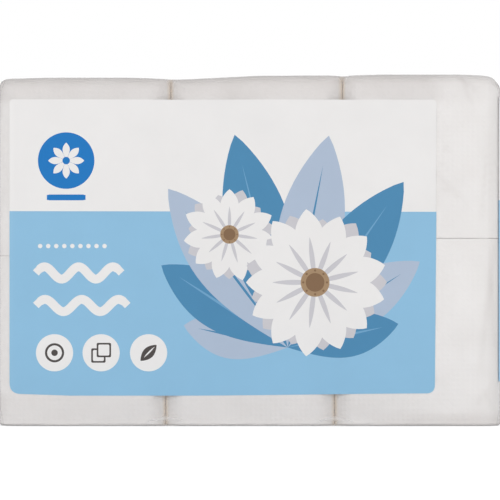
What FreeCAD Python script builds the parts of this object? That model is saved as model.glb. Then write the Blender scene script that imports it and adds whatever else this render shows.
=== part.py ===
import FreeCAD
import Part

import math
import os

from FreeCAD import Vector

# A sealed pack of twelve toilet tissue rolls in a clear film wrap, in millimetres.
#
# The rolls stand upright, three across, two deep and two high. Each is a wound body
# of tissue on a cardboard core, and the tight wrap squeezes it to a rounded square.
# The wrap is one sheet of film. It runs round the front, top, back and bottom, is
# lapped and sealed across the back, and is folded in like an envelope at both ends.
#
# +X runs to the right along the pack as seen from the front, +Y runs from the front
# to the back and +Z is up. The origin is on the floor under the middle of the pack.

# How the rolls are packed
COLUMNS = ("left", "middle", "right")
ROWS = ("front", "back")
LAYERS = ("lower", "upper")

# Tissue roll
roll_width = 97.5  # across the flats of a squeezed roll
roll_height = 102.0  # width of the sheet that is wound
roll_corner = 10.8  # radius that the squeeze leaves at each corner
rim_bevel = 3.2  # where the edge of the wrap presses a rim down
tail_step = 0.6  # step at the loose end of the last sheet
tail_run = 12.0  # length over which that step fades out
tail_place = 14.0  # from the middle of the roll's inner side to the loose end

# Cardboard core
core_width = 41.0  # across the core
core_corner = 16.0  # radius that the squeeze leaves at the core's corners
core_wall = 0.6  # two plies of board

# Film wrap
film = 0.3  # one layer, drawn thicker than the real 0.04
corner_slack = 1.0  # by which the wrap's corners are tighter than the rolls' own
top_round = 5.0  # radius of the top edge
bottom_bevel = 2.6  # of the edge that the pack stands on
crown = 2.0  # rise of the wrap over each column of rolls
valley_half = 16.0  # half the width of the groove in the top between the rows
valley_rise = 0.4  # of the groove's bottom above the places where columns meet

# Envelope folds at the two ends, and the lap seal on the back
flap_tip = 24.0  # width of a folded flap at its tip
flap_overlap = 14.0  # by which the upper flap covers the lower one
seal_level = 26.0  # lower edge of the back seal above the floor
seal_width = 15.0

# Worked out from the values above
rolls_length = len(COLUMNS) * roll_width
rolls_depth = len(ROWS) * roll_width
rolls_top = film + len(LAYERS) * roll_height
wrap_length = rolls_length + 2 * film
wrap_depth = rolls_depth + 2 * film
wrap_corner = roll_corner - corner_slack + film
top_low = rolls_top + film  # top of the wrap where two columns meet
top_high = top_low + crown  # top of the wrap over the middle of a column
fold_level = top_low / 2  # where the flaps at the ends overlap
margin = 20.0  # by which cutting shapes stand out past the pack

UP = Vector(0, 0, 1)


def column_x(column):
    """The middle of a column of rolls, along the pack."""
    return (column - (len(COLUMNS) - 1) / 2) * roll_width


def row_y(row):
    """The middle of a row of rolls, from front to back."""
    return (row - (len(ROWS) - 1) / 2) * roll_width


def layer_z(layer):
    """The lower end of a layer of rolls."""
    return film + layer * roll_height


def rounded_rectangle(length, depth, corner):
    """A face round the origin with round corners, length along X and depth along Y."""
    sides = ((1, 0, length, depth), (0, 1, depth, length))
    edges = []
    for x, y, reach, width in sides + tuple((-x, -y, r, w) for x, y, r, w in sides):
        out = Vector(x, y, 0)
        along = Vector(-y, x, 0)
        start = out * (reach / 2) - along * (width / 2 - corner)
        end = out * (reach / 2) + along * (width / 2 - corner)
        centre = end - out * corner
        middle = centre + (out + along).normalize() * corner
        edges.append(Part.LineSegment(start, end).toShape())
        edges.append(Part.Arc(end, middle, centre + along * corner).toShape())
    return Part.Face(Part.Wire(edges))


def level_edges(shape, level):
    """The edges of a shape that lie level at one height."""
    return [
        edge
        for edge in shape.Edges
        if edge.BoundBox.ZLength < 1e-6 and abs(edge.BoundBox.ZMin - level) < 1e-6
    ]


def bevelled_block():
    """The space the rolls fill, with the rims that the wrap presses down bevelled."""
    outline = rounded_rectangle(rolls_length, rolls_depth, roll_corner)
    outline.translate(UP * film)
    block = outline.extrude(UP * (rolls_top - film))
    rims = level_edges(block, film) + level_edges(block, rolls_top)
    return block.makeChamfer(rim_bevel, rims)


def tissue_roll(tail_side):
    """Wound tissue with its hollow, standing on the origin.

    tail_side is 1 or -1 for the side along Y where the last sheet ends.
    """
    outline = rounded_rectangle(roll_width, roll_width, roll_corner)
    hollow = rounded_rectangle(core_width, core_width, core_corner)
    side = tail_side * roll_width / 2
    loose_end = Part.makePolygon(
        [
            Vector(tail_place, side, 0),
            Vector(tail_place, side - tail_side * tail_step, 0),
            Vector(tail_place + tail_run, side, 0),
            Vector(tail_place, side, 0),
        ]
    )
    return outline.cut(hollow).cut(Part.Face(loose_end)).extrude(UP * roll_height)


def core_tube():
    """The cardboard tube that the tissue is wound on, standing on the origin."""
    inner_width = core_width - 2 * core_wall
    outside = rounded_rectangle(core_width, core_width, core_corner)
    inside = rounded_rectangle(inner_width, inner_width, core_corner - core_wall)
    return outside.cut(inside).extrude(UP * roll_height)


def crowned_slab(inset):
    """A slab over the whole pack whose top rises in one arc over each column."""
    low = top_low - inset
    half = rolls_length / 2
    reach = half + margin
    front = -wrap_depth / 2 - margin
    corners = ((-half, low), (-reach, low), (-reach, -margin))
    corners += ((reach, -margin), (reach, low), (half, low))
    points = [Vector(x, front, z) for x, z in corners]
    edges = [Part.LineSegment(a, b).toShape() for a, b in zip(points, points[1:])]
    for column in reversed(range(len(COLUMNS))):
        x = column_x(column)
        arc = Part.Arc(
            Vector(x + roll_width / 2, front, low),
            Vector(x, front, low + crown),
            Vector(x - roll_width / 2, front, low),
        )
        edges.append(arc.toShape())
    face = Part.Face(Part.Wire(edges))
    return face.extrude(Vector(0, wrap_depth + 2 * margin, 0))


def valley(y, inset):
    """The wedge that leaves a groove in the top, between two rows of rolls."""
    end = -wrap_length / 2 - margin
    slope = (crown - valley_rise) / valley_half
    bottom = top_low + valley_rise - inset * math.hypot(1, slope)
    wedge = Part.makePolygon(
        [
            Vector(end, y, bottom),
            Vector(end, y + 2 * valley_half, bottom + slope * 2 * valley_half),
            Vector(end, y - 2 * valley_half, bottom + slope * 2 * valley_half),
            Vector(end, y, bottom),
        ]
    )
    return Part.Face(wedge).extrude(Vector(wrap_length + 2 * margin, 0, 0))


def wrap_body(inset):
    """The closed form of the wrap, drawn in all round by inset from its outside."""
    outline = rounded_rectangle(
        wrap_length - 2 * inset, wrap_depth - 2 * inset, wrap_corner - inset
    )
    outline.translate(UP * inset)
    body = outline.extrude(UP * (top_high - 2 * inset))
    body = body.makeFillet(top_round - inset, level_edges(body, top_high - inset))
    bevel = bottom_bevel - inset * math.tan(math.pi / 8)
    body = body.makeChamfer(bevel, level_edges(body, inset))
    body = body.common(crowned_slab(inset))
    for row in range(len(ROWS) - 1):
        body = body.cut(valley((row_y(row) + row_y(row + 1)) / 2, inset))
    return body


def flap_prism(end, root, tip):
    """A wedge through one end of the pack, wide at its root and narrow at its tip."""
    x = end * (wrap_length / 2 - wrap_corner)
    slope = (wrap_depth - flap_tip) / 2 / abs(tip - root)
    start = bottom_bevel if tip > root else root - top_round
    half = wrap_depth / 2 - slope * abs(start - root)
    corners = [
        Vector(x, -half, start),
        Vector(x, half, start),
        Vector(x, flap_tip / 2, tip),
        Vector(x, -flap_tip / 2, tip),
    ]
    outline = Part.Face(Part.makePolygon(corners + corners[:1]))
    return outline.extrude(Vector(end * (wrap_corner + margin), 0, 0))


def end_folds(end):
    """The layers folded over one end: a lower flap, and an upper one lapped over it."""
    lower = flap_prism(end, 0, fold_level + flap_overlap / 2)
    upper = flap_prism(end, top_low, fold_level - flap_overlap / 2)
    one_layer = wrap_body(-film)
    two_layers = wrap_body(-2 * film)
    return [
        one_layer.common(lower),
        one_layer.common(upper),
        two_layers.common(upper).common(lower),
    ]


def back_seal():
    """The lap seal that closes the tube of film, across the back."""
    strip = Part.makeBox(
        wrap_length + 2 * margin,
        wrap_corner + margin,
        seal_width,
        Vector(-wrap_length / 2 - margin, wrap_depth / 2 - wrap_corner, seal_level),
    )
    return wrap_body(-film).common(strip)


def film_wrap():
    """The whole wrap: a thin closed skin with its folds and its seal."""
    layers = [back_seal()] + end_folds(1) + end_folds(-1)
    return wrap_body(0).fuse(layers).cut(wrap_body(film)).removeSplitter()


def save(shape, name):
    """Writes one sub-part to the file of its name."""
    shape.exportStep("parts/" + name + ".step")
    print(name, len(shape.Solids), "solid,", round(shape.Volume / 1000, 2), "cm3")


def main():
    os.makedirs("parts", exist_ok=True)
    save(film_wrap(), "film_wrap")
    block = bevelled_block()
    cores = []
    for row, row_name in enumerate(ROWS):
        tail_side = 1 if row_y(row) < 0 else -1
        for column, column_name in enumerate(COLUMNS):
            for layer, layer_name in enumerate(LAYERS):
                place = Vector(column_x(column), row_y(row), layer_z(layer))
                tissue = tissue_roll(tail_side)
                tissue.translate(place)
                name = "_".join(("tissue", row_name, column_name, layer_name))
                save(tissue.common(block), name)
                core = core_tube()
                core.translate(place)
                cores.append(core)
    save(Part.makeCompound(cores), "cores")


main()
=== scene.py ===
import math
import random

import bmesh
import bpy
import numpy as np
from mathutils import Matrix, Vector
from mathutils.geometry import delaunay_2d_cdt


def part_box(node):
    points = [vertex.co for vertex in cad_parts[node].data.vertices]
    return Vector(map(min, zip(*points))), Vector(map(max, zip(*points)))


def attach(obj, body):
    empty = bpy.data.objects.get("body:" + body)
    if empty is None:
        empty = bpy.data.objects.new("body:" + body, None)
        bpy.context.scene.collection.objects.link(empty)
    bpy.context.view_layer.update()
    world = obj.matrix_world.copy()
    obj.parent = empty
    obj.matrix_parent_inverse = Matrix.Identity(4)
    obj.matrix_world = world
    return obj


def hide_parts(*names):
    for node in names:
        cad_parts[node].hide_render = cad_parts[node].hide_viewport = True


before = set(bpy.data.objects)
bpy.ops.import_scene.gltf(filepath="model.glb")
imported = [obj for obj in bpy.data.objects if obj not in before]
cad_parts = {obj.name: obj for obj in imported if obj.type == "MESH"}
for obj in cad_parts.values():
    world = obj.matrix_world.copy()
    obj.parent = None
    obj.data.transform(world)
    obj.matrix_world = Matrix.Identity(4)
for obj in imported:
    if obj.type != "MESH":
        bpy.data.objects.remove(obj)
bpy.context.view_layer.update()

# The look of a sealed pack of twelve toilet tissue rolls in clear printed film.
# Sizes are in millimetres until a mesh is made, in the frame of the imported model:
# X to the right along the pack, Y to the back, Z up from the floor.

MM = 0.001


def box_mm(node):
    """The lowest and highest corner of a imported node."""
    low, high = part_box(node)
    return np.array(low) / MM, np.array(high) / MM


# The pack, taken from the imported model
COLUMNS = ("left", "middle", "right")
ROWS = ("front", "back")
LAYERS = ("lower", "upper")
film_low, film_high = box_mm("film_wrap")
roll_low, roll_high = box_mm("tissue_front_middle_lower")
roll_width = roll_high[0] - roll_low[0]
split_level = roll_high[2]
roll_corner = 10.8
core_width = 41.0
core_corner = 16.0

# The lines between the columns lean, because the squeezed rolls have been pushed
# sideways: the shift of the left and right line at the top and bottom of the pack
seams = np.array((-0.5, 0.5)) * roll_width
lean_top = (2.4, 5.4)
lean_bottom = (-0.6, 0.8)

# Where a column's two rolls meet their outer turns have slipped up or down
SLIP = {"front": (-2.8, 1.5, 7.4), "back": (2.2, -1.0, -2.6)}

# The film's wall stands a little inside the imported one, which leaves room for
# its wrinkles and for the layers folded over its ends
half_x = film_high[0] - 0.4
half_y = -film_low[1] - 0.5
corner = 10.0
top_round = 5.0
bottom_round = 1.6
wall_top = film_high[2] - 3.4

# Rise of the wall over wall_top along its front, from left to right, and over the
# middles of the back's columns, where it drops by back_drop between them
FRONT_RISE = (
    (-147, 0.0), (-144, 0.0), (-134, 0.1), (-118, 0.6), (-70, 0.6), (-58, 0.2), (-49, -0.3),
    (-44, -0.6), (-38, -0.4), (-29, 0.0), (-17, 0.6), (5, 1.7), (48, 1.9), (54, 1.2), (60, 1.9),
    (76, 2.4), (123, 2.4), (135, 1.9), (141, 1.1), (143, 0.3), (145, -1.1), (147, -3.6),
)
back_crests = (1.9, 2.2, 1.6)
back_drop = 1.5

groove_half = 24.0  # half the width of the groove in the top between the rows
groove_depth = 0.8

# Where a second layer of film lies on the wall, and how far it stands off
flap_tip, flap_overlap = 24.0, 14.0
flap_lifts = (0.1, 0.18)  # of the lower and the upper flap
seal_level, seal_width, weld_width = 26.0, 15.0, 5.0
lap_lift, weld_lift = 0.15, 0.25

# How the rolls lie in the film
roll_gap = 0.03  # from a neighbour
side_push = 0.3  # of an outer side: out at the pack's ends, in at its front and back
top_gap = 0.35  # between the upper end and the film
top_rims = (5.0, 1.4)  # radius of the upper rim at the film and at a neighbour
foot_rims = (1.5, 0.9)
inner_rim = 0.3  # where two layers meet
rim_reach = 11.0  # from a neighbour to where a rim has its full radius
painted_shade_reach, painted_shade_share = 2.2, 0.8  # of the warm shade painted into the tissue's colour between two rolls
roll_points = 176  # round each turn that is drawn

# The cores
core_recess = (0.8, 1.0)  # from the roll's lower and upper end
core_wall, core_gap = 0.6, 0.1
core_points = 96

# Pitch of the mesh on the wall, round its edges and in its smallest creases
wall_pitch, edge_pitch, fine_pitch = 2.4, 1.2, 0.9

# Lengths along the wall: round the pack from the middle of the front, and up it
straight_x = half_x - corner
straight_y = half_y - corner
turn = corner * math.pi / 2
around = 4 * (straight_x + straight_y + turn)
end_middle = straight_x + turn + straight_y
v_low = bottom_round * (1 - math.pi / 2)
v_high = wall_top + top_round * (math.pi / 2 - 1)


# The wall of the film


def smoothstep(low, high, value):
    share = np.clip((value - low) / (high - low), 0, 1)
    return share * share * (3 - 2 * share)


def plan_point(u, half_x, half_y, corner):
    """Places and outward normals on a rounded rectangle, u from its front's middle."""
    straight = (half_x - corner, half_y - corner)
    bend = corner * math.pi / 2
    t = (np.asarray(u, float) + straight[0]) % (4 * (sum(straight) + bend))
    x, y, nx, ny = (np.zeros_like(t) for _ in range(4))
    start = 0.0
    for side in range(4):
        angle = (side - 1) * math.pi / 2
        out = (math.cos(angle), math.sin(angle))
        along = (-out[1], out[0])
        reach, width = (half_y, half_x)[side % 2], straight[side % 2]
        here = (t >= start) & (t <= start + 2 * width)
        run = t[here] - start - width
        x[here] = out[0] * reach + along[0] * run
        y[here] = out[1] * reach + along[1] * run
        nx[here], ny[here] = out
        start += 2 * width
        here = (t > start) & (t < start + bend)
        phi = (t[here] - start) / corner
        nx[here] = out[0] * np.cos(phi) + along[0] * np.sin(phi)
        ny[here] = out[1] * np.cos(phi) + along[1] * np.sin(phi)
        x[here] = out[0] * (reach - corner) + along[0] * width + corner * nx[here]
        y[here] = out[1] * (reach - corner) + along[1] * width + corner * ny[here]
        start += bend
    return x, y, nx, ny


def seam_x(side, z):
    """Where the left (0) or right (1) line between two columns is at a height."""
    up = lean_top[side] * smoothstep(split_level, split_level + 85, z)
    down = lean_bottom[side] * (1 - smoothstep(20, split_level, z))
    return seams[side] + up + down


def rise(x, y):
    """How far the film over the rolls' ends stands above wall_top."""
    top = film_high[2]
    lines = (3 * seams[0], seam_x(0, top), seam_x(1, top), 3 * seams[1])
    column = np.interp(x, lines, (0, 1, 2, 3))
    from_column = np.abs(column % 1 - 0.5) * 2
    back = np.interp(column, (0.5, 1.5, 2.5), back_crests) - back_drop * from_column**4
    places, levels = np.transpose(FRONT_RISE)
    front = sum(np.interp(x + shift, places, levels) for shift in (-2, -1, 0, 1, 2)) / 5
    share = smoothstep(-45, 45, y)
    groove = groove_depth * (1 - smoothstep(0, groove_half, np.abs(y)))
    return front + (back - front) * share - groove * (1 - from_column**2)


def wall_point(u, v, lift):
    """Places on the film's wall, v up it, raised off it by lift."""
    x, y, nx, ny = plan_point(u, half_x, half_y, corner)
    v = np.asarray(v, float)
    low = np.clip((bottom_round - v) / bottom_round, 0, None)
    high = np.clip((v - wall_top + top_round) / top_round, 0, None)
    inset = bottom_round * (1 - np.cos(low)) + top_round * (1 - np.cos(high))
    z = np.where(low > 0, bottom_round * (1 - np.sin(low)), v)
    z = np.where(high > 0, wall_top - top_round * (1 - np.sin(high)), z)
    level = np.cos(low) * np.cos(high)
    upward = np.sin(high) - np.sin(low)
    x, y = x - nx * inset, y - ny * inset
    z = z + rise(x, y) * smoothstep(wall_top - 16, wall_top, z)
    place = (x + nx * level * lift, y + ny * level * lift, z + upward * lift)
    return np.stack(place, 1)


# Wrinkles


def ridge(u, v, start, end, height, width):
    """A soft crease between two places on the wall, fading out at both ends."""
    start, end = np.array(start, float), np.array(end, float)
    along = end - start
    share = ((u - start[0]) * along[0] + (v - start[1]) * along[1]) / (along @ along)
    share = np.clip(share, 0, 1)
    away = np.hypot(u - start[0] - share * along[0], v - start[1] - share * along[1])
    return height * np.exp(-((away / width) ** 2)) * np.sin(math.pi * share) ** 0.7


def swell(a, b, size, seed, waves=7):
    """Smooth random swells between 0 and 1, a few times size apart."""
    pick = random.Random(seed)
    total = np.zeros_like(a)
    for _ in range(waves):
        angle = pick.uniform(0, 2 * math.pi)
        pitch = 2 * math.pi / (size * pick.uniform(0.7, 1.6))
        phase = pick.uniform(0, 2 * math.pi)
        total += np.sin(pitch * (a * math.cos(angle) + b * math.sin(angle)) + phase)
    return 0.5 + 0.5 * total / waves


def creases_of_wall():
    """Creases on the wall: those the photograph shows, and tucks at the corners."""
    creases = [
        ((98, 158), (128, 128), 0.2, 2.0),
        ((110, 154), (118, 149), 0.25, 0.8),
        ((110, 140), (117, 136), 0.25, 0.8),
        ((112, 163), (119, 160), 0.2, 0.8),
        ((139, 172), (135, 118), 0.3, 1.0),
        ((141, 166), (140, 130), 0.2, 0.8),
        ((144, 112), (134, 30), 0.35, 1.8),
        ((139, 104), (145, 34), 0.25, 1.6),
        ((141, 24), (132, 12), 0.3, 1.0),
        ((136, 22), (142, 8), 0.25, 0.9),
        ((119, 203), (134, 194), 0.3, 1.0),
        ((122, 204), (131, 186), 0.25, 0.9),
        ((-20, 200), (24, 166), 0.2, 5.0),
        ((-60, 190), (-20, 160), 0.12, 5.0),
        ((60, 30), (118, 26), 0.22, 2.6),
        ((76, 78), (84, 40), 0.2, 5.0),
    ]
    pick = random.Random(4)
    for side in (-1, 1):
        for up in (0, 1):
            for place in (straight_x + 12, end_middle + straight_y - 4):
                for _ in range(9):
                    level = 196 if up else 12
                    angle = pick.uniform(0.2, 1.35) * (-1 if up else 1)
                    length = pick.uniform(12, 42)
                    back = 1 if place < end_middle else -1
                    u = place + pick.uniform(-5, 7)
                    v = level + pick.uniform(-8, 5)
                    end = (
                        side * (u + back * length * math.cos(angle)),
                        v + length * math.sin(angle),
                    )
                    height = pick.uniform(0.1, 0.32)
                    creases.append(((side * u, v), end, height, pick.uniform(0.9, 2.2)))
    return creases


CREASES = creases_of_wall()


def wall_creases(u, v):
    """The height of the creases on the wall."""
    return sum(ridge(u, v, *crease) for crease in CREASES)


def wall_lift(u, v):
    """How far the wrinkled film stands off its wall."""
    lift = 0.1 * swell(u, v, 60, 1) + 0.05 * swell(u, v, 17, 2) + wall_creases(u, v)
    fade = smoothstep(v_low, 6, v) * (1 - smoothstep(wall_top - 4, v_high, v))
    from_end = np.abs(np.abs(u) - end_middle)
    return np.clip(lift, 0, 0.19 + 0.25 * smoothstep(straight_y, straight_y + 10, from_end)) * fade


def wall_painted_shade(u, v):
    """How much shade the film paints on what lies under it.

    It paints shade above, below and beside the print, along the foot at the right, over the seams
    between the columns, at its rounded top and in its creases, and takes some away again at the very
    foot.
    """
    # Painted shade: each term darkens the tint of the clear film over the tissue
    above = smoothstep(187, 192, v) * (1 - 0.75 * smoothstep(100, 122, u))
    below = (1 - smoothstep(16, 22, v)) * (0.75 - 0.6 * smoothstep(55, 115, u))
    foot = 0.9 * smoothstep(60, 105, u) * (u < end_middle)
    foot = foot * (1 - smoothstep(3, 8 + 5 * swell(u, v, 22, 8), v)) - 0.4 * (1 - smoothstep(1, 5, v))
    left = 0.15 * (1 - smoothstep(-141, -137, u))
    right = 0.3 * smoothstep(135, 144, u)
    painted_shade = np.maximum(np.maximum(above, below), np.maximum(left, right)) + foot
    for side in (0, 1):
        away = np.abs(u - seam_x(side, v))
        painted_shade += 0.45 * np.exp(-((away / 6) ** 2)) * smoothstep(82, 88, np.abs(v - 104))
    painted_shade += 0.6 * smoothstep(197, 200, v)
    return np.clip(painted_shade + (1.4 + 0.8 * (u > -120)) * wall_creases(u, v), 0, 2.4)


# Meshes


def grid_points(low, high, pitch):
    """Staggered points that fill a rectangle, its edges included."""
    rows = max(2, round((high[1] - low[1]) / pitch) + 1)
    count = max(2, round((high[0] - low[0]) / pitch) + 1)
    xs = np.linspace(low[0], high[0], count)
    points = []
    for row, y in enumerate(np.linspace(low[1], high[1], rows)):
        shift = 0.5 * (xs[1] - xs[0]) if row % 2 and 0 < row < rows - 1 else 0
        inner = xs[1:-1] + shift
        points += [(xs[0], y)] + [(x, y) for x in inner if x < high[0] - 0.3 * pitch]
        points.append((xs[-1], y))
    return points


def inside(points, polygon):
    """Which of the points lie inside a polygon."""
    polygon = np.asarray(polygon, float)
    low, high = polygon.min(0), polygon.max(0)
    near = np.all((points > low) & (points < high), 1)
    x, y = points[near].T
    odd = np.zeros(len(x), bool)
    for a, b in zip(polygon, np.roll(polygon, -1, 0)):
        if a[1] == b[1]:
            continue
        crossing = (a[1] > y) != (b[1] > y)
        odd ^= crossing & (x < (b[0] - a[0]) * (y - a[1]) / (b[1] - a[1]) + a[0])
    result = np.zeros(len(points), bool)
    result[near] = odd
    return result


def stepped(outline, pitch):
    """An outline with points along it no more than about pitch apart."""
    outline = np.asarray(outline, float)
    points = []
    for a, b in zip(outline, np.roll(outline, -1, 0)):
        steps = max(1, math.ceil(np.linalg.norm(b - a) / pitch))
        points += [a + (b - a) * step / steps for step in range(steps)]
    return np.array(points)


def triangulate(points, polygons):
    """Triangles over the points that keep every polygon's edges."""
    points, edges = list(points), []
    for polygon in polygons:
        first = len(points)
        count = len(polygon)
        points += [tuple(p) for p in polygon]
        edges += [(first + i, first + (i + 1) % count) for i in range(count)]
    found = delaunay_2d_cdt([Vector(p) for p in points], edges, [], 0, 1e-4)
    return np.array([tuple(p) for p in found[0]]), np.array(found[2])


def add_object(name, places, faces, materials, face_slots=None, smooth=True):
    """An object from places in millimetres, with one material slot for each material."""
    mesh = bpy.data.meshes.new(name)
    mesh.from_pydata((np.asarray(places) * MM).tolist(), [], [list(map(int, f)) for f in faces])
    for material in materials:
        mesh.materials.append(material)
    if face_slots is not None:
        mesh.polygons.foreach_set("material_index", np.asarray(face_slots, np.int32))
    mesh.polygons.foreach_set("use_smooth", [smooth] * len(mesh.polygons))
    thing = bpy.data.objects.new(name, mesh)
    bpy.context.scene.collection.objects.link(thing)
    return thing


def weld(thing, distance=0.001):
    """Joins the points of an object that lie on each other."""
    shape = bmesh.new()
    shape.from_mesh(thing.data)
    bmesh.ops.remove_doubles(shape, verts=shape.verts, dist=distance * MM)
    bmesh.ops.recalc_face_normals(shape, faces=shape.faces)
    shape.to_mesh(thing.data)
    shape.free()


def ring(count):
    """Angles of count points round a circle."""
    return np.arange(count) * 2 * math.pi / count


# Outlines of the print, in millimetres: u along the wall and v up it


def disc(u, v, radius, count=56):
    return np.stack([u + radius * np.cos(ring(count)), v + radius * np.sin(ring(count))], 1)


def turned(points, u, v, degrees):
    """Points turned about the origin and moved to a place."""
    angle = math.radians(degrees)
    turn_by = np.array([[math.cos(angle), math.sin(angle)], [-math.sin(angle), math.cos(angle)]])
    return np.asarray(points) @ turn_by + (u, v)


def leaf(u, v, length, width, degrees, blunt=1.0, count=26):
    """A leaf or petal that starts at a place and points away from it."""
    share = np.linspace(0, 1, count)
    half = width / 2 * np.sin(math.pi * share**blunt) ** 0.85
    top = np.stack([share * length, half], 1)
    bottom = np.stack([share * length, -half], 1)[-2:0:-1]
    return turned(np.vstack([top, bottom]), u, v, degrees)


def rounded(corners, radii, count=9):
    """A polygon with a rounded corner at each of its corners."""
    corners = np.asarray(corners, float)
    points = []
    for here, before, after, radius in zip(
        corners, np.roll(corners, 1, 0), np.roll(corners, -1, 0), radii
    ):
        back = (before - here) / np.linalg.norm(before - here)
        on = (after - here) / np.linalg.norm(after - here)
        for share in np.linspace(0, 1, count):
            a, b = here + back * radius * (1 - share), here + on * radius * share
            points.append(a + (b - a) * share)
    return np.array(points)


def ribbon(u, v, length, wave, waves, thickness, count=60):
    """A wavy stroke with round ends."""
    share = np.linspace(0, 1, count)
    x, y = share * length, wave * np.sin(2 * math.pi * waves * share)
    slope = np.arctan2(np.gradient(y), np.gradient(x))
    half = thickness / 2 * np.clip(np.sin(math.pi * np.clip(share, 0.04, 0.96)) * 6, 0, 1) ** 0.5
    top = np.stack([x - half * np.sin(slope), y + half * np.cos(slope)], 1)
    bottom = np.stack([x + half * np.sin(slope), y - half * np.cos(slope)], 1)[::-1]
    return np.vstack([top, bottom]) + (u, v)


# The print: a white field over a light blue one, with flowers, leaves and plain marks
label_left, label_right = -140.5, 108.8
label_low, label_high = 17.9, 190.9
band_top = 125.2
side_gap = 38.6  # of clear film between the front's print and that of an end
side_low, side_band, side_high = 26.0, 132.0, 193.0

# The spray of leaves: direction in degrees, length, width and colour
spray_place = (22.0, 46.0)
SPRAY = (
    (168, 62, 27, "pale"),
    (147, 88, 31, "blue"),
    (127, 116, 35, "pale"),
    (104, 128, 38, "blue"),
    (79, 126, 38, "pale"),
    (55, 118, 36, "blue"),
    (33, 92, 31, "pale"),
    (12, 66, 26, "blue"),
)
badge_place = (-107.3, 155.1)
dots_place, dot_pitch = (-122.5, 105.2), 4.7
waves_left = -125.0
sign_places = (-114.1, -86.9, -59.2)  # of the three white discs
sign_level = 42.9


def square(u, v, half):
    """The corners of a square round a place."""
    return [(u + a * half, v + b * half) for a, b in ((-1, -1), (1, -1), (1, 1), (-1, 1))]


def daisy(u, v, radius, petals, turn_by):
    """A flower of white petals with a tan middle."""
    shapes = []
    for petal in range(petals):
        degrees = turn_by + 360 * petal / petals
        reach = radius * (0.94 + 0.06 * math.cos(3 * petal))
        shapes.append(("shade", leaf(u, v, reach, radius * 0.46, degrees, 1.5)))
    for petal in range(petals):
        degrees = turn_by + 360 * (petal + 0.5) / petals
        reach = radius * (1 + 0.04 * math.sin(5 * petal))
        shapes.append(("white", leaf(u, v, reach, radius * 0.4, degrees, 1.5)))
        shapes.append(("shade", leaf(u, v, reach * 0.62, radius * 0.07, degrees)))
    shapes.append(("tan", disc(u, v, radius * 0.2)))
    shapes.append(("dark_tan", disc(u, v, radius * 0.13, 40)))
    for seed in range(8):
        degrees = math.radians(45 * seed)
        reach = radius * 0.165
        spot = (u + reach * math.cos(degrees), v + reach * math.sin(degrees))
        shapes.append(("dark_tan", disc(*spot, radius * 0.016, 12)))
    return shapes


def field(top_left, top_right, head_radius):
    """The print's outline from its bowed foot up to a level edge."""
    u = np.linspace(label_left, label_right - 0.9, 15)
    v = label_low + 1.3 * smoothstep(-40, 110, u) + 1.2 * (1 - smoothstep(-141, -105, u))
    head = [(label_right, top_right), (label_left, top_left)]
    radii = [6.5] + [0.01] * 13 + [5.0] + [head_radius] * 2
    return rounded(np.vstack([np.stack([u, v], 1), head]), radii)


def front_print():
    """The front's fields and its design, the lowest colour first."""
    shapes = [("white", field(label_high, label_high - 0.5, 2.2))]
    shapes.append(("band", field(band_top + 0.4, band_top, 0.01)))
    for degrees, length, width, ink in SPRAY:
        shapes.append((ink, leaf(*spray_place, length, width, degrees, 1.15)))
        vein = "blue" if ink == "pale" else "vein"
        shapes.append((vein, leaf(*spray_place, length * 0.86, 1.5, degrees)))
    shapes += daisy(-12, 112, 27, 11, 8)
    shapes += daisy(38, 84, 42, 13, 0)
    shapes.append(("badge", disc(*badge_place, 16.5, 72)))
    for petal in range(8):
        shapes.append(("white", leaf(*badge_place, 10.5, 4.2, 45 * petal, 1.4)))
    shapes.append(("badge", disc(*badge_place, 2.2, 24)))
    shapes.append(("badge", ribbon(badge_place[0] - 11.3, badge_place[1] - 21.5, 22.6, 0, 1, 3.4)))
    for dot in range(9):
        shapes.append(("white", disc(dots_place[0] + dot_pitch * dot, dots_place[1], 1.3, 20)))
    for level, length in ((89.5, 50), (70.5, 53.6)):
        shapes.append(("white", ribbon(waves_left, level, length, 3.6, 2.5, 5.2)))
    for place in sign_places:
        shapes.append(("white", disc(place, sign_level, 10.85)))
    return shapes + sign_shapes()


def sign_shapes():
    """The plain signs in the three white discs: a ring, two squares and a leaf."""
    shapes = []
    for ink, radius, count in (("text", 5.6, 44), ("white", 4.3, 40), ("text", 1.9, 28)):
        shapes.append((ink, disc(sign_places[0], sign_level, radius, count)))
    for shift in (-1.6, 1.6):
        for ink, half in (("text", 4.2), ("white", 3.2)):
            corners = square(sign_places[1] + shift, sign_level + shift, half)
            shapes.append((ink, rounded(corners, (0.9,) * 4, 5)))
    shapes.append(("text", leaf(sign_places[2] - 4.7, sign_level - 4.7, 13.2, 6.4, 45, 1.0)))
    shapes.append(("white", leaf(sign_places[2] - 2.8, sign_level - 2.8, 9.0, 0.9, 45)))
    return shapes


def side_print(start, end):
    """The plain fields at one end of the pack, between two places along the wall."""
    low, high = min(start, end), max(start, end)
    fields = []
    for ink, bottom, top in (("white", side_low, side_high), ("band", side_low, side_band)):
        fields.append((ink, np.array([(low, bottom), (high, bottom), (high, top), (low, top)], float)))
    return fields


# Materials


def new_material(name, colour, roughness):
    """A material, its node tree and its main shader."""
    material = bpy.data.materials.new(name)
    material.use_nodes = True
    tree = material.node_tree
    shader = tree.nodes["Principled BSDF"]
    shader.inputs["Base Color"].default_value = (*colour, 1)
    shader.inputs["Roughness"].default_value = roughness
    return material, tree, shader


def linear(red, green, blue):
    """A colour given as the 0 to 255 values of a screen."""
    shares = [value / 255 for value in (red, green, blue)]
    return tuple(s / 12.92 if s <= 0.04045 else ((s + 0.055) / 1.055) ** 2.4 for s in shares)


def node(tree, kind, **values):
    """A node with its inputs or settings given by name."""
    made = tree.nodes.new(kind)
    for key, value in values.items():
        socket = key.replace("_", " ")
        if socket in made.inputs:
            made.inputs[socket].default_value = value
        else:
            setattr(made, key, value)
    return made


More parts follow.
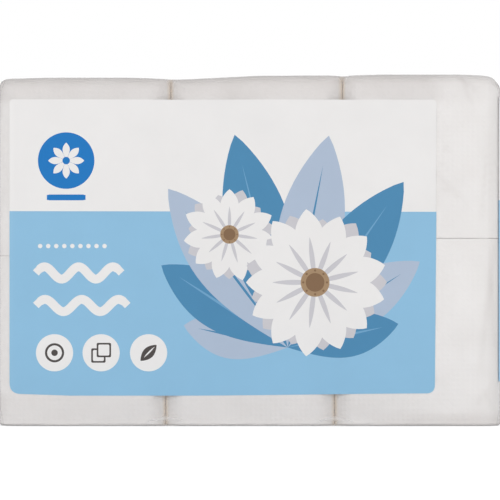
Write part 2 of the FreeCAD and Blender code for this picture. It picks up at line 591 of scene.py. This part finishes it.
def scaled_place(tree, scale):
    """Coordinates of the object, stretched."""
    place = node(tree, "ShaderNodeTexCoord")
    mapping = node(tree, "ShaderNodeMapping", Scale=scale)
    tree.links.new(place.outputs["Object"], mapping.inputs["Vector"])
    return mapping.outputs["Vector"]


def noise(tree, scale, **values):
    """Random patches, finer along the axes with a larger scale, as a number."""
    made = node(tree, "ShaderNodeTexNoise", Scale=1.0, **values)
    tree.links.new(scaled_place(tree, scale), made.inputs["Vector"])
    return made.outputs["Fac"]


def blended(tree, share, first, second, **values):
    """A blend of two colours, each of them given as values or as a socket."""
    mix = node(tree, "ShaderNodeMix", data_type="RGBA", **values)
    tree.links.new(share, mix.inputs[0])
    for index, colour in ((6, first), (7, second)):
        if isinstance(colour, tuple):
            mix.inputs[index].default_value = (*colour, 1)
        else:
            tree.links.new(colour, mix.inputs[index])
    return mix.outputs[2]


def summed(tree, total, *others):
    """A sum of numbers, held between 0 and 1."""
    for more in others:
        add = node(tree, "ShaderNodeMath", operation="ADD", use_clamp=True)
        tree.links.new(total, add.inputs[0])
        tree.links.new(more, add.inputs[1])
        total = add.outputs[0]
    return total


def bumped(tree, height, strength, distance):
    """The normal of a surface with a fine relief."""
    bump = node(tree, "ShaderNodeBump", Strength=strength, Distance=distance)
    tree.links.new(height, bump.inputs["Height"])
    return bump.outputs["Normal"]


def film_bump(tree, strength, ribbed=False):
    """Fine crinkles of thin film, or the ribs of a heat seal, as a normal."""
    if ribbed:
        wave = node(tree, "ShaderNodeTexWave", Scale=1.0, Distortion=0.8, Detail=1.0)
        wave.bands_direction = "Z"
        tree.links.new(scaled_place(tree, (150, 150, 150)), wave.inputs["Vector"])
        height = wave.outputs["Fac"]
    else:
        height = noise(tree, (34, 34, 21), Detail=2.5, Distortion=1.2)
    return bumped(tree, height, strength, 0.0014)


def ink_material(name, colour):
    """A colour printed on the inside of the film, seen through its gloss."""
    material, tree, shader = new_material(name, colour, 0.34)
    darker = tuple(c * 0.955 for c in colour)
    lighter = tuple(min(c * 1.03, 1) for c in colour)
    mottle = noise(tree, (30, 30, 30), Detail=3.0, Roughness=0.6)
    tree.links.new(blended(tree, mottle, darker, lighter), shader.inputs["Base Color"])
    tree.links.new(film_bump(tree, 0.25), shader.inputs["Normal"])
    shader.inputs["Specular IOR Level"].default_value = 0.3
    shader.inputs["Coat Weight"].default_value = 0.08
    shader.inputs["Coat Roughness"].default_value = 0.18
    return material


def clear_material(name, haze, gloss, strength, ribbed=False):
    """Thin clear film: mostly see-through, with a milky haze and a gloss.

    The mesh's point attributes paint light and shade into it: one darkens the tint of what the film
    lets through, as painted shade, and the other whitens its haze, as painted light.
    """
    material = bpy.data.materials.new(name)
    material.use_nodes = True
    tree = material.node_tree
    tree.nodes.clear()
    output = node(tree, "ShaderNodeOutputMaterial")
    clear = node(tree, "ShaderNodeBsdfTransparent")
    # Painted shade: the attribute darkens what the clear film lets through
    painted_shade = node(tree, "ShaderNodeAttribute", attribute_name="painted_shade").outputs["Fac"]
    tints = ((0.995, 0.995, 0.995), (0.925, 0.918, 0.916))
    tint = blended(tree, painted_shade, *tints, clamp_factor=False)
    tree.links.new(tint, clear.inputs["Color"])
    haze_and_painted_light = node(tree, "ShaderNodeBsdfPrincipled", Roughness=0.3)
    haze_and_painted_light.inputs["Base Color"].default_value = (0.9, 0.89, 0.89, 1)
    normal = film_bump(tree, strength, ribbed)
    tree.links.new(normal, haze_and_painted_light.inputs["Normal"])
    patches = noise(tree, (16, 16, 11), Detail=3.0, Roughness=0.5)
    spread = node(tree, "ShaderNodeMapRange")
    spread.inputs["From Min"].default_value = 0.35
    spread.inputs["From Max"].default_value = 0.7
    spread.inputs["To Min"].default_value = haze * 0.5
    spread.inputs["To Max"].default_value = haze * 1.6
    tree.links.new(patches, spread.inputs["Value"])
    sheen = node(tree, "ShaderNodeLayerWeight", Blend=gloss)
    tree.links.new(normal, sheen.inputs["Normal"])
    # Painted light: the attribute whitens the haze
    painted_light = node(tree, "ShaderNodeAttribute", attribute_name="haze_and_painted_light").outputs["Fac"]
    total = summed(tree, sheen.outputs["Fresnel"], spread.outputs["Result"], painted_light)
    mix = node(tree, "ShaderNodeMixShader")
    tree.links.new(total, mix.inputs[0])
    tree.links.new(clear.outputs[0], mix.inputs[1])
    tree.links.new(haze_and_painted_light.outputs[0], mix.inputs[2])
    tree.links.new(mix.outputs[0], output.inputs["Surface"])
    return material


INKS = {
    "clear": clear_material("clear_film", 0.08, 0.12, 0.3),
    "white": ink_material("ink_white", linear(241, 239, 238)),
    "band": ink_material("ink_light_blue", linear(145, 194, 226)),
    "blue": ink_material("ink_blue", linear(74, 138, 180)),
    "vein": ink_material("ink_vein", linear(112, 166, 204)),
    "pale": ink_material("ink_periwinkle", linear(178, 193, 214)),
    "badge": ink_material("ink_bright_blue", linear(10, 119, 194)),
    "shade": ink_material("ink_grey", linear(206, 204, 209)),
    "tan": ink_material("ink_tan", linear(167, 138, 106)),
    "dark_tan": ink_material("ink_brown", linear(132, 102, 74)),
    "text": ink_material("ink_dark", linear(72, 66, 64)),
}


def tissue_material(name, ends):
    """Soft white tissue. Its sides are embossed, and its ends show the wound turns.

    The mesh says in "groove" where the paper is pressed on its neighbour, and there a warmer, darker
    colour is painted in as shade.
    """
    material, tree, shader = new_material(name, linear(238, 236, 235), 0.9)
    shader.inputs["Sheen Weight"].default_value = 0.15
    shader.inputs["Sheen Roughness"].default_value = 0.6
    place = node(tree, "ShaderNodeUVMap", uv_map="wound")
    split = node(tree, "ShaderNodeSeparateXYZ")
    tree.links.new(place.outputs["UV"], split.inputs[0])

    def math_node(operation, *values):
        made = node(tree, "ShaderNodeMath", operation=operation)
        for index, value in enumerate(values):
            if isinstance(value, (int, float)):
                made.inputs[index].default_value = value
            else:
                tree.links.new(value, made.inputs[index])
        return made.outputs[0]

    fibres = noise(tree, (900, 900, 900), Detail=5.0, Roughness=0.65)
    clouds = noise(tree, (60, 60, 60), Detail=3.0, Roughness=0.5)
    if ends:
        wobble = math_node("MULTIPLY", clouds, 0.0016)
        turns = math_node("ADD", split.outputs["X"], wobble)
        pattern = math_node("SINE", math_node("MULTIPLY", turns, 2 * math.pi / 0.0011))
        depth, strength = 0.0004, 0.55
    else:
        across = math_node("SINE", math_node("MULTIPLY", split.outputs["X"], 2 * math.pi / 0.0058))
        up = math_node("SINE", math_node("MULTIPLY", split.outputs["Y"], 2 * math.pi / 0.0058))
        pattern = math_node("POWER", math_node("ABSOLUTE", math_node("MULTIPLY", across, up)), 1.6)
        depth, strength = 0.00022, 0.5
    height = math_node("ADD", pattern, math_node("MULTIPLY", fibres, 0.7))
    tree.links.new(bumped(tree, height, strength, depth), shader.inputs["Normal"])
    white = blended(tree, clouds, linear(243, 240, 238), linear(252, 250, 249))
    # Painted shade: a warm, darker colour where the roll is pressed on its neighbour
    groove = node(tree, "ShaderNodeAttribute", attribute_name="groove").outputs["Fac"]
    painted_warm_shade = blended(tree, groove, white, linear(228, 206, 176))
    tree.links.new(painted_warm_shade, shader.inputs["Base Color"])
    return material


def board_material():
    """Brown board with its spiral seam and its fibres."""
    material, tree, shader = new_material("brown_board", linear(168, 136, 100), 0.85)
    fibres = noise(tree, (300, 300, 60), Detail=6.0, Roughness=0.7)
    board = blended(tree, fibres, linear(142, 112, 80), linear(184, 152, 114))
    place = node(tree, "ShaderNodeUVMap", uv_map="wound")
    wave = node(tree, "ShaderNodeTexWave", Scale=13.0, Distortion=0.6, Detail=1.0)
    wave.bands_direction = "DIAGONAL"
    tree.links.new(place.outputs["UV"], wave.inputs["Vector"])
    seam = node(tree, "ShaderNodeMapRange")
    seam.inputs["From Max"].default_value = 0.12
    tree.links.new(wave.outputs["Fac"], seam.inputs["Value"])
    seamed = blended(tree, seam.outputs["Result"], linear(112, 86, 60), board)
    tree.links.new(seamed, shader.inputs["Base Color"])
    tree.links.new(bumped(tree, fibres, 0.4, 0.0003), shader.inputs["Normal"])
    return material


# The film


def set_attribute(thing, name, values):
    """Gives each point of an object's mesh a number for the materials to read."""
    layer = thing.data.attributes.new(name, "FLOAT", "POINT")
    layer.data.foreach_set("value", np.asarray(values, np.float32))


def film_wall():
    """The wall of the film with the print as its own faces, and its top and bottom."""
    shapes = front_print()
    shapes += side_print(label_right + side_gap, 2 * end_middle - label_right - side_gap)
    shapes += side_print(label_left - side_gap, -2 * end_middle - label_left + side_gap)
    half = around / 2
    points = grid_points((-half, bottom_round), (half, wall_top - top_round), wall_pitch)
    for side in (0, 1):
        low, high = (seams[side] - 16, bottom_round + 0.1), (seams[side] + 16, 7)
        points += grid_points(low, high, fine_pitch)
    points += grid_points((-half, wall_top - top_round), (half, v_high), edge_pitch)
    points += grid_points((-half, v_low), (half, bottom_round), fine_pitch)
    flat, faces = triangulate(points, [stepped(outline, wall_pitch) for _, outline in shapes])
    middles = flat[faces].mean(1)
    inks = list(INKS)
    slots = np.zeros(len(faces), int)
    for ink, outline in shapes:
        slots[inside(middles, outline)] = inks.index(ink)
    u, v = flat.T
    parts = [(wall_point(u, v, wall_lift(u, v)), faces, slots)]
    # Painted shade and painted light for the wall
    painted_shades, painted_lights = [wall_painted_shade(u, v)], [wall_painted_light(u, v)]
    for level, inset in ((v_high, top_round), (v_low, bottom_round)):
        rim = np.unique(flat[np.abs(v - level) < 1e-3, 0])[:-1]
        edge = wall_point(rim, np.full(len(rim), level), 0)
        reach = np.array((half_x - inset, half_y - inset))
        fill = np.array(grid_points(-reach, reach, 2.6))
        fill = fill[inside(fill, edge[:, :2] * (1 - 0.8 / half_y))]
        cap, cap_faces = triangulate(fill, [edge[:, :2]])
        x, y = cap.T
        away = np.minimum(reach[0] - np.abs(x), reach[1] - np.abs(y))
        creases = top_creases(x, y) * smoothstep(0, 6, away) * (level == v_high)
        z = np.zeros(len(x))
        if level == v_high:
            z = wall_top + rise(x, y) + creases + 0.2 * swell(x, y, 34, 5) * smoothstep(0, 7, away)
        z = np.minimum(z, film_high[2])
        parts.append((np.stack([x, y, z], 1), cap_faces, np.zeros(len(cap_faces), int)))
        # Painted shade over both caps, more along the top's creases, and painted light round the top's
        # edge
        painted_shades.append(0.3 + 2 * creases)
        painted_lights.append(0.1 * (1 - smoothstep(0, 5, away)) * (level == v_high))
    places = np.vstack([part[0] for part in parts])
    starts = np.cumsum([0] + [len(part[0]) for part in parts])
    faces = np.vstack([part[1] + start for part, start in zip(parts, starts)])
    slots = np.concatenate([part[2] for part in parts])
    film = add_object("film", places, faces, list(INKS.values()), slots)
    set_attribute(film, "painted_shade", np.concatenate(painted_shades))
    set_attribute(film, "haze_and_painted_light", np.concatenate(painted_lights))
    weld(film)
    return film


def wall_painted_light(u, v):
    """Painted light: the film's haze whitened round its top edge, along the seams near its top and
    foot, and in arches over the seams' feet.
    """
    haze_and_painted_light = np.zeros(len(u))
    for side in (0, 1):
        from_seam = u - seam_x(side, 0)
        arch = 4.6 - 2.6 * (from_seam / 12) ** 2
        line = np.exp(-(((v - arch) / 0.9) ** 2)) * (1 - smoothstep(7, 13, np.abs(from_seam)))
        haze_and_painted_light += 0.3 * line * (np.abs(u) < straight_x)
    for side in (0, 1):
        away = u - seam_x(side, v)
        haze_and_painted_light += 0.2 * np.exp(-((away / 2.4) ** 2)) * smoothstep(82, 88, np.abs(v - 104))
    return haze_and_painted_light + 0.1 * smoothstep(199, 204, v)


def top_creases(x, y):
    """Creases that run out from the places where four rolls meet."""
    height = np.zeros(len(x))
    pick = random.Random(9)
    for side in (0, 1):
        for row in (-1, 0, 1):
            for _ in range(10):
                middle = (seam_x(side, film_high[2]), row * 88)
                start = (middle[0] + pick.uniform(-6, 6), middle[1] + pick.uniform(-6, 6))
                angle = pick.uniform(0, 2 * math.pi)
                length = pick.uniform(14, 46)
                end = (start[0] + length * math.cos(angle), start[1] + length * math.sin(angle))
                height += ridge(x, y, start, end, pick.uniform(0.06, 0.2), pick.uniform(0.9, 2.0))
    return height


def sheet(name, outline, lift, material, pitch=2.6):
    """A second layer of film lying on the wall, its edges pressed down."""
    outline = np.asarray(outline, float)
    low, high = outline.min(0), outline.max(0)
    fill = np.array(grid_points(low, high, pitch))
    middle = outline.mean(0)
    border = stepped(outline, pitch)
    inner = border + (middle - border) / np.linalg.norm(middle - border, axis=1)[:, None] * 1.2
    fill = fill[inside(fill, inner)]
    flat, faces = triangulate(np.vstack([fill, inner]), [border])
    keep = inside(flat[faces].mean(1), border)
    u, v = flat.T
    on_edge = np.zeros(len(flat), bool)
    for a, b in zip(border, np.roll(border, -1, 0)):
        along = (b - a) / np.linalg.norm(b - a)
        offset = flat - a
        off = np.abs(offset[:, 0] * along[1] - offset[:, 1] * along[0])
        run = offset @ along
        on_edge |= (off < 0.05) & (run > -0.05) & (run < np.linalg.norm(b - a) + 0.05)
    height = np.where(on_edge, lift * 0.5, lift)
    places = wall_point(u, v, wall_lift(u, v) + height)
    layer = add_object(name, places, faces[keep], [material])
    # Painted shade along the layer's edges and creases, and painted light along its edges
    set_attribute(layer, "painted_shade", np.where(on_edge, 0.45, 0.05) + 1.2 * wall_creases(u, v))
    set_attribute(layer, "haze_and_painted_light", np.where(on_edge, 0.14, 0.0))
    return layer


def flap_outline(side, root, tip):
    """The outline of a flap folded over an end: curved sides from its root to its tip."""
    tip_half, root_half = flap_tip / 2, straight_y + turn / 2
    share = np.linspace(0, 1, 24)
    half = tip_half + (root_half - tip_half) * (1 - share**1.35)
    level = root + (tip - root) * share
    right = np.stack([side * (end_middle + half), level], 1)
    left = np.stack([side * (end_middle - half), level], 1)[::-1]
    return np.vstack([right, left])


def film_pieces():
    """The film and the layers folded or lapped over it."""
    pieces = [film_wall()]
    fold = clear_material("folded_film", 0.03, 0.04, 0.4)
    sealed = clear_material("sealed_film", 0.08, 0.08, 0.5, ribbed=True)
    fold_level = wall_top / 2
    for side, name in ((1, "right"), (-1, "left")):
        rising = flap_outline(side, 0.6, fold_level + flap_overlap / 2)
        falling = flap_outline(side, wall_top - 1.0, fold_level - flap_overlap / 2)
        pieces.append(sheet("end_fold_lower_" + name, rising, flap_lifts[0], fold))
        pieces.append(sheet("end_fold_upper_" + name, falling, flap_lifts[1], fold))
    pieces.append(sheet("back_lap", back_strip(0, seal_width), lap_lift, fold))
    weld_low = (seal_width - weld_width) / 2
    line = back_strip(weld_low, weld_low + weld_width)
    pieces.append(sheet("back_seal", line, weld_lift, sealed, 1.8))
    return pieces


def back_strip(low, high):
    """A strip across the back, between two heights over the lap's lower edge."""
    half = straight_x + turn / 2
    corners = ((-half, low), (half, low), (half, high), (-half, high))
    return [(around / 2 + u, seal_level + v) for u, v in corners]


# The rolls


def lattice_faces(rows, count):
    """Faces of a lattice of rows that each close on themselves."""
    faces = []
    for row in range(rows - 1):
        for i in range(count):
            j = (i + 1) % count
            low, high = row * count, (row + 1) * count
            faces.append((low + i, low + j, high + j, high + i))
    return faces


def set_wound(thing, faces, wound, count, lengths):
    """Coordinates along and across the wound sheet, unrolled past the closing face."""
    wrap = {}
    for index, face in enumerate(faces):
        if index % count == count - 1:
            wrap[index] = {corner for corner in face if corner % count == 0}
    layer = thing.data.uv_layers.new(name="wound")
    values = []
    for index, face in enumerate(faces):
        for corner in face:
            place = wound[corner]
            extra = lengths[corner // count] if corner in wrap.get(index, ()) else (0, 0)
            values += [(place[0] + extra[0]) * MM, (place[1] + extra[1]) * MM]
    layer.uv.foreach_set("vector", np.array(values, np.float32))


def tissue_roll(name, row, column, layer):
    """A wound roll of tissue, squeezed between its neighbours and the film."""
    low, high = box_mm("tissue_" + name)
    centre = (low[:2] + high[:2]) / 2
    half, hole = roll_width / 2, core_width / 2
    count = roll_points
    upper = layer == "upper"
    inner_y = 1 if row == "front" else -1
    start = 4 * (half - roll_corner) + turn if row == "front" else 0

    def outline(share):
        """The turn of paper at a share of the way out from the hollow."""
        reach = hole + (half - hole) * share
        bend = core_corner + (roll_corner - core_corner) * share
        length = 8 * (reach - bend) + 2 * math.pi * bend
        u = np.arange(count) / count * length
        x, y, _, _ = plan_point(u + start / (8 * half) * length, reach, reach, bend)
        return x, y, u, reach, length

    def bulged(out, side):
        """out, drawn nearer to the film where the roll is pressed on a neighbour."""
        depth = half - np.abs(out)
        give = 0.5 * np.minimum(depth, (3 * roll_corner - depth) / 2)
        near = 1 - smoothstep(0, 9, half - side)
        return out + np.sign(out) * np.clip(give, 0, None) * near

    def squeezed(x, y, z):
        """Pushes the sides of the roll to its neighbours' sides and the film's."""
        touching_x = np.where(x > 0, column < 2, column > 0) * np.abs(x)
        touching_y = np.where(y * inner_y > 0, 1, 0) * np.abs(y)
        x, y = (
            np.where(touching_y > 0, bulged(x, touching_y), x),
            np.where(touching_x > 0, bulged(y, touching_x), y),
        )
        to_x = np.clip((np.abs(x) - hole) / (half - hole), 0, 1)
        to_y = np.clip((np.abs(y) - hole) / (half - hole), 0, 1)
        left, right = -side_push, side_push
        if column > 0:
            left = seam_x(column - 1, z) - seams[column - 1] + roll_gap
        if column < 2:
            right = seam_x(column, z) - seams[column] - roll_gap
        push_y = np.where(y * inner_y > 0, roll_gap, side_push)
        new_x = x + np.where(x > 0, right, left) * to_x
        return new_x + centre[0], y - np.sign(y) * push_y * to_y + centre[1]

    def near_neighbour(x, y, far):
        """1 where the roll is pressed on its neighbour, fading to 0 at far mm away."""
        touching = [half - y * inner_y]
        touching += [half + x] if column > 0 else []
        touching += [half - x] if column < 2 else []
        return 1 - smoothstep(0.1, far, np.min(touching, axis=0))

    held = near_neighbour(*outline(1)[:2], rim_reach)

    def end_level(share, up):
        """The height of the upper or lower end, and the slip where two rolls meet."""
        x, y = outline(share)[:2]
        if upper != (up > 0):
            level = low[2] + roll_gap if upper else high[2] - roll_gap
            level += SLIP[row][column] * float(smoothstep(0.15, 0.8, share))
            rims = (inner_rim, inner_rim)
        elif upper:
            level = wall_top + rise(*squeezed(x, y, film_high[2])) - top_gap
            rims = top_rims
        else:
            level = low[2]
            rims = foot_rims
        rim = rims[0] + (rims[1] - rims[0]) * held
        over = np.clip(1 - (half - hole) * (1 - share) / rim, 0, 1)
        return level - up * rim * (1 - np.sqrt(1 - over**2))

    rows, wound, lengths, painted_groove_shades = [], [], [], []

    def add_row(share, z, on_end):
        x, y, u, reach, length = outline(share)
        new_x, new_y = squeezed(x, y, z)
        rows.append(np.stack([new_x, new_y, z], 1))
        # Painted shade where the roll is pressed on its neighbour, for the tissue's colour
        painted_groove_shades.append(near_neighbour(x, y, painted_shade_reach) * painted_shade_share)
        if on_end:
            wound.append(np.stack([np.full(count, reach), u], 1))
            lengths.append((0, length))
        else:
            wound.append(np.stack([u, z], 1))
            lengths.append((length, 0))

    shown = [*np.linspace(0, 0.82, 14), 0.85, 0.88, 0.91, 0.935, 0.955]
    shown += [0.972, 0.985, 0.993, 0.998, 1]
    hidden = [0, 0.4, 0.75, 0.9, 0.97, 0.989, 0.994, 0.998, 1]
    ends = (hidden, shown) if upper else (shown, hidden)
    for share in ends[0]:
        add_row(share, end_level(share, -1), True)
    near_end = np.array([0, 0.003, 0.008, 0.018, 0.04])
    sides = [*near_end, *np.linspace(0.08, 0.92, 20), *(1 - near_end[::-1])]
    for share in sides:
        add_row(1, end_level(1, -1) * (1 - share) + end_level(1, 1) * share, False)
    for share in ends[1][::-1]:
        add_row(share, end_level(share, 1), True)
    faces = lattice_faces(len(rows), count)
    last = count * (len(rows) - 1)
    for i in range(count):
        j = (i + 1) % count
        faces.append((last + i, last + j, j, i))
    slots = np.ones(len(faces), int)
    slots[len(ends[0]) * count : (len(ends[0]) + len(sides) - 1) * count] = 0
    slots[-count:] = 0
    roll = add_object("roll_" + name, np.vstack(rows), faces, TISSUE, slots)
    set_attribute(roll, "groove", np.concatenate(painted_groove_shades))
    set_wound(roll, faces, np.vstack(wound), count, lengths)
    weld(roll)
    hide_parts("tissue_" + name)
    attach(roll, "root")


def core_tube(name):
    """A cardboard tube with thin walls, a little short of its roll's ends."""
    low, high = box_mm("tissue_" + name)
    centre = (low[:2] + high[:2]) / 2
    bottom, top = low[2] + core_recess[0], high[2] - core_recess[1]
    count, wall = core_points, core_wall
    outer = core_width / 2 - core_gap
    rows, wound, lengths = [], [], []
    for reach, level in (
        (outer, bottom),
        (outer, top),
        (outer - wall, top),
        (outer - wall, bottom),
        (outer, bottom),
    ):
        bend = core_corner - (core_width / 2 - reach)
        length = 8 * (reach - bend) + 2 * math.pi * bend
        u = np.arange(count) / count * length
        x, y, _, _ = plan_point(u, reach, reach, bend)
        rows.append(np.stack([x + centre[0], y + centre[1], np.full(count, level)], 1))
        wound.append(np.stack([u, np.full(count, level)], 1))
        lengths.append((length, 0))
    faces = lattice_faces(len(rows), count)
    tube = add_object("core_tube_" + name, np.vstack(rows), faces, [BOARD])
    set_wound(tube, faces, np.vstack(wound), count, lengths)
    weld(tube)
    tube.data.set_sharp_from_angle(angle=math.radians(40))
    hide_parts("cores")
    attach(tube, "root")


TISSUE = [tissue_material("tissue_side", False), tissue_material("tissue_end", True)]
BOARD = board_material()


# The stage


def area_light(name, place, target, size, power):
    """A soft rectangular light."""
    data = bpy.data.lights.new(name, "AREA")
    data.shape = "RECTANGLE"
    data.size, data.size_y = size
    data.energy = power
    lamp = bpy.data.objects.new(name, data)
    lamp.location = place
    lamp.rotation_euler = (Vector(target) - Vector(place)).to_track_quat("-Z", "Y").to_euler()
    bpy.context.scene.collection.objects.link(lamp)


def seen_ray(tree):
    """1 for rays from the camera and in gloss and clear film, and 0 for the rest."""
    rays = node(tree, "ShaderNodeLightPath").outputs
    kinds = ("Is Camera Ray", "Is Glossy Ray", "Is Transmission Ray")
    return summed(tree, *[rays[kind] for kind in kinds])


# In metres and watts: place, size and power
LAMPS = (
    ("left_softbox", (-1.3, -1.5, 0.6), (1.1, 1.1), 6.2),
    ("right_softbox", (1.4, -1.4, 0.5), (1.1, 1.1), 5.8),
    ("front_softbox", (0.1, -1.6, 1.0), (1.6, 0.6), 1.8),
    ("top_softbox", (0, 0.1, 1.6), (1.4, 1.2), 1.5),
    ("back_softbox", (0.3, 1.9, 0.8), (1.6, 1.0), 6.0),
)


def build_stage():
    """A pale floor, a white surround and soft light from the front."""
    material = bpy.data.materials.new("floor")
    material.use_nodes = True
    tree = material.node_tree
    shader = tree.nodes["Principled BSDF"]
    shader.inputs["Base Color"].default_value = (0.85, 0.85, 0.85, 1)
    shader.inputs["Roughness"].default_value = 0.9
    shader.inputs["Specular IOR Level"].default_value = 0.0
    glow = node(tree, "ShaderNodeEmission", Strength=0.4)
    both = node(tree, "ShaderNodeAddShader")
    only_seen = node(tree, "ShaderNodeMixShader")
    tree.links.new(shader.outputs[0], both.inputs[0])
    tree.links.new(glow.outputs[0], both.inputs[1])
    tree.links.new(seen_ray(tree), only_seen.inputs[0])
    tree.links.new(shader.outputs[0], only_seen.inputs[1])
    tree.links.new(both.outputs[0], only_seen.inputs[2])
    tree.links.new(only_seen.outputs[0], tree.nodes["Material Output"].inputs["Surface"])
    size = 4000.0
    corners = [(-size, -size, 0), (size, -size, 0), (size, size, 0), (-size, size, 0)]
    floor = add_object("floor", corners, [(0, 1, 2, 3)], [material], smooth=False)

    world = bpy.data.worlds.new("studio")
    bpy.context.scene.world = world
    world.use_nodes = True
    tree = world.node_tree
    background = tree.nodes["Background"]
    level = node(tree, "ShaderNodeMapRange")
    level.inputs["To Min"].default_value = 0.66
    level.inputs["To Max"].default_value = 1.0
    tree.links.new(seen_ray(tree), level.inputs["Value"])
    tree.links.new(level.outputs["Result"], background.inputs["Strength"])
    background.inputs["Color"].default_value = (1, 1, 1, 1)

    for name, place, size, power in LAMPS:
        area_light(name, place, (0, 0, 0.1), size, power)


def build_camera():
    """A long lens straight on to the front, which fills the width of the frame."""
    data = bpy.data.cameras.new("camera")
    data.lens = 250
    data.sensor_width = 36
    camera = bpy.data.objects.new("camera", data)
    shown_width = 2 * half_x * MM * 0.9945  # the pack fills the frame to its edges
    distance = shown_width * data.lens / data.sensor_width
    camera.location = (0.0, -half_y * MM - distance, 0.1029)
    camera.rotation_euler = (math.radians(90), 0, 0)
    bpy.context.scene.collection.objects.link(camera)
    bpy.context.scene.camera = camera


for piece in film_pieces():
    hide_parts("film_wrap")
    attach(piece, "root")
for row in ROWS:
    for column, column_name in enumerate(COLUMNS):
        for layer in LAYERS:
            name = "_".join((row, column_name, layer))
            tissue_roll(name, row, column, layer)
            core_tube(name)
build_stage()
build_camera()
bpy.context.scene.view_settings.view_transform = "Standard"
